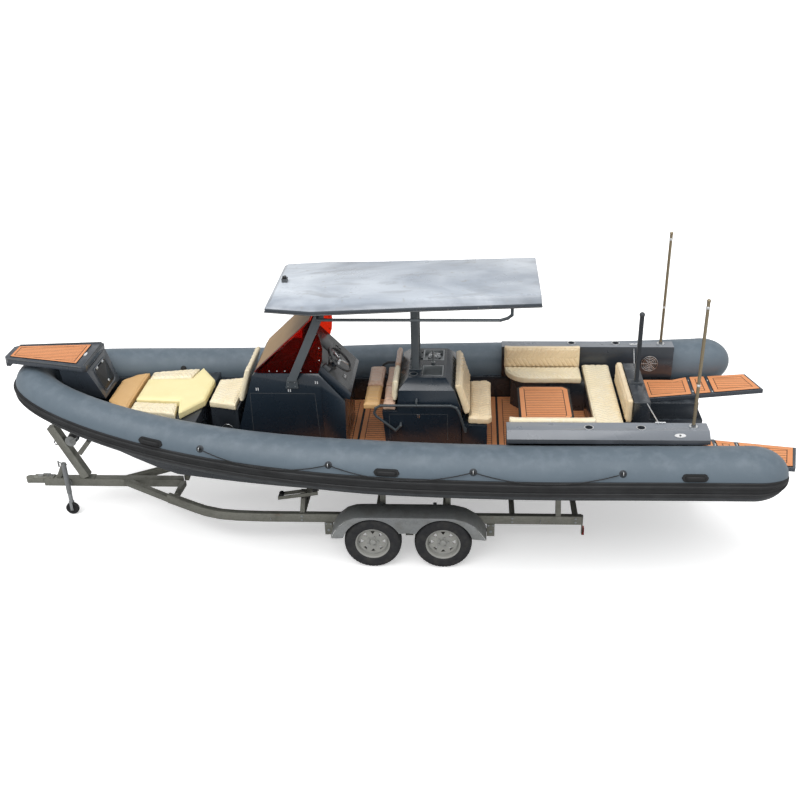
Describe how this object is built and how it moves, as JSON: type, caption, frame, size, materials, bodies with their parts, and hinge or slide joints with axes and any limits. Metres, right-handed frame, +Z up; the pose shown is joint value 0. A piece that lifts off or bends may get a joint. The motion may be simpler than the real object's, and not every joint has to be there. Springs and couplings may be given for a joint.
{
  "type": "rigid inflatable boat on trailer",
  "caption": "Rigid inflatable cruiser with hard top, console, seat module, bow lounge, stern lounge and swim platforms, parked on a tandem-axle boat trailer",
  "frame": {"origin": "on the ground, centred under the whole boat and trailer", "axes": "+X to the bow and the coupling, +Y to port, +Z up"},
  "size_m": [9.0589, 3.3294, 3.265],
  "materials": {
    "gelcoat": "satin dark blue-grey gelcoat",
    "tube": "coated fabric, grey",
    "rubber": "black rubber",
    "teak": "synthetic teak with dark caulking lines",
    "cushion": "cream marine vinyl over foam",
    "acrylic": "acrylic under protective film",
    "dark_metal": "dark grey powder coat",
    "stainless": "stainless steel",
    "galvanised": "hot-dip galvanised steel",
    "tyre": "black tyre rubber",
    "rim": "silver painted steel"
  },
  "bodies": {
    "boat_and_trailer": {"rigid_hull": "gelcoat", "hull_sides": "gelcoat", "teak_decking": "teak", "tube_collar": "tube", "rub_strake": "rubber", "tube_fittings": "rubber", "grab_lines": "rubber", "bow_step": "gelcoat", "bow_seat_base": "gelcoat", "bow_cushions": "cushion", "bow_infill": "cushion", "console_seat": "cushion", "console": "gelcoat", "windscreen": "acrylic", "throttle": "rubber", "roof": "gelcoat", "roof_frame": "dark_metal", "roof_rails": "dark_metal", "seat_module": "gelcoat", "sink_unit": "stainless", "helm_seats": "cushion", "grab_rails": "dark_metal", "aft_seat": "cushion", "lounge_base": "gelcoat", "lounge_cushions": "cushion", "lounge_backrests": "cushion", "table_top": "teak", "table_pedestal": "stainless", "coamings": "gelcoat", "stern_bulkhead": "gelcoat", "mast": "dark_metal", "awning_poles": "stainless", "swim_platforms": "gelcoat", "deck_fittings": "rubber", "drawbar": "galvanised", "chassis_rails": "galvanised", "cross_members": "galvanised", "axles": "galvanised", "fenders": "galvanised", "winch_post": "galvanised", "bunks": "rubber", "keel_rollers": "rubber", "trailer_lights": "galvanised"},
    "front_port_wheel": {"tyre_front_port": "tyre", "rim_front_port": "rim"},
    "rear_port_wheel": {"tyre_rear_port": "tyre", "rim_rear_port": "rim"},
    "front_starboard_wheel": {"tyre_front_starboard": "tyre", "rim_front_starboard": "rim"},
    "rear_starboard_wheel": {"tyre_rear_starboard": "tyre", "rim_rear_starboard": "rim"},
    "jack": {"jack_tube": "galvanised"},
    "jack_inner": {"jack_leg": "galvanised"},
    "jockey": {"jockey_wheel": "rubber"},
    "helm": {"helm_wheel": "stainless"},
    "port_bolster": {"bolster_port": "cushion"},
    "starboard_bolster": {"bolster_starboard": "cushion"},
    "bow_locker_door": {"locker_door": "rubber"}
  },
  "joints": [
    {"name": "front_port_wheel_spin", "type": "hinge", "parent": "boat_and_trailer", "child": "front_port_wheel", "pos_m": [0.1295, 1.03, 0.325], "axis": [0, 1, 0], "continuous": true},
    {"name": "rear_port_wheel_spin", "type": "hinge", "parent": "boat_and_trailer", "child": "rear_port_wheel", "pos_m": [-0.6645, 1.03, 0.325], "axis": [0, 1, 0], "continuous": true},
    {"name": "front_starboard_wheel_spin", "type": "hinge", "parent": "boat_and_trailer", "child": "front_starboard_wheel", "pos_m": [0.1295, -1.03, 0.325], "axis": [0, 1, 0], "continuous": true},
    {"name": "rear_starboard_wheel_spin", "type": "hinge", "parent": "boat_and_trailer", "child": "rear_starboard_wheel", "pos_m": [-0.6645, -1.03, 0.325], "axis": [0, 1, 0], "continuous": true},
    {"name": "jack_swivel", "type": "hinge", "parent": "boat_and_trailer", "child": "jack", "pos_m": [3.9825, 0.094, 0.43], "axis": [0, 1, 0], "range_deg": [0, 90]},
    {"name": "jack_extend", "type": "slide", "parent": "jack", "child": "jack_inner", "axis": [0, 0, 1], "range_m": [0, 0.12]},
    {"name": "jockey_spin", "type": "hinge", "parent": "jack_inner", "child": "jockey", "pos_m": [3.9825, 0.094, 0.08], "axis": [0, 1, 0], "continuous": true},
    {"name": "helm_turn", "type": "hinge", "parent": "boat_and_trailer", "child": "helm", "pos_m": [0.50373, 0.2, 2.19514], "axis": [-0.7241, 0, 0.6897], "range_deg": [-540, 540]},
    {"name": "port_bolster_flip", "type": "hinge", "parent": "boat_and_trailer", "child": "port_bolster", "pos_m": [0.0375, 0.25, 1.785], "axis": [0, -1, 0], "range_deg": [0, 90]},
    {"name": "starboard_bolster_flip", "type": "hinge", "parent": "boat_and_trailer", "child": "starboard_bolster", "pos_m": [0.0375, -0.25, 1.785], "axis": [0, -1, 0], "range_deg": [0, 90]},
    {"name": "bow_locker_open", "type": "hinge", "parent": "boat_and_trailer", "child": "bow_locker_door", "pos_m": [3.33992, 0, 2.01329], "axis": [0, 1, 0], "range_deg": [0, 95]}
  ]
}
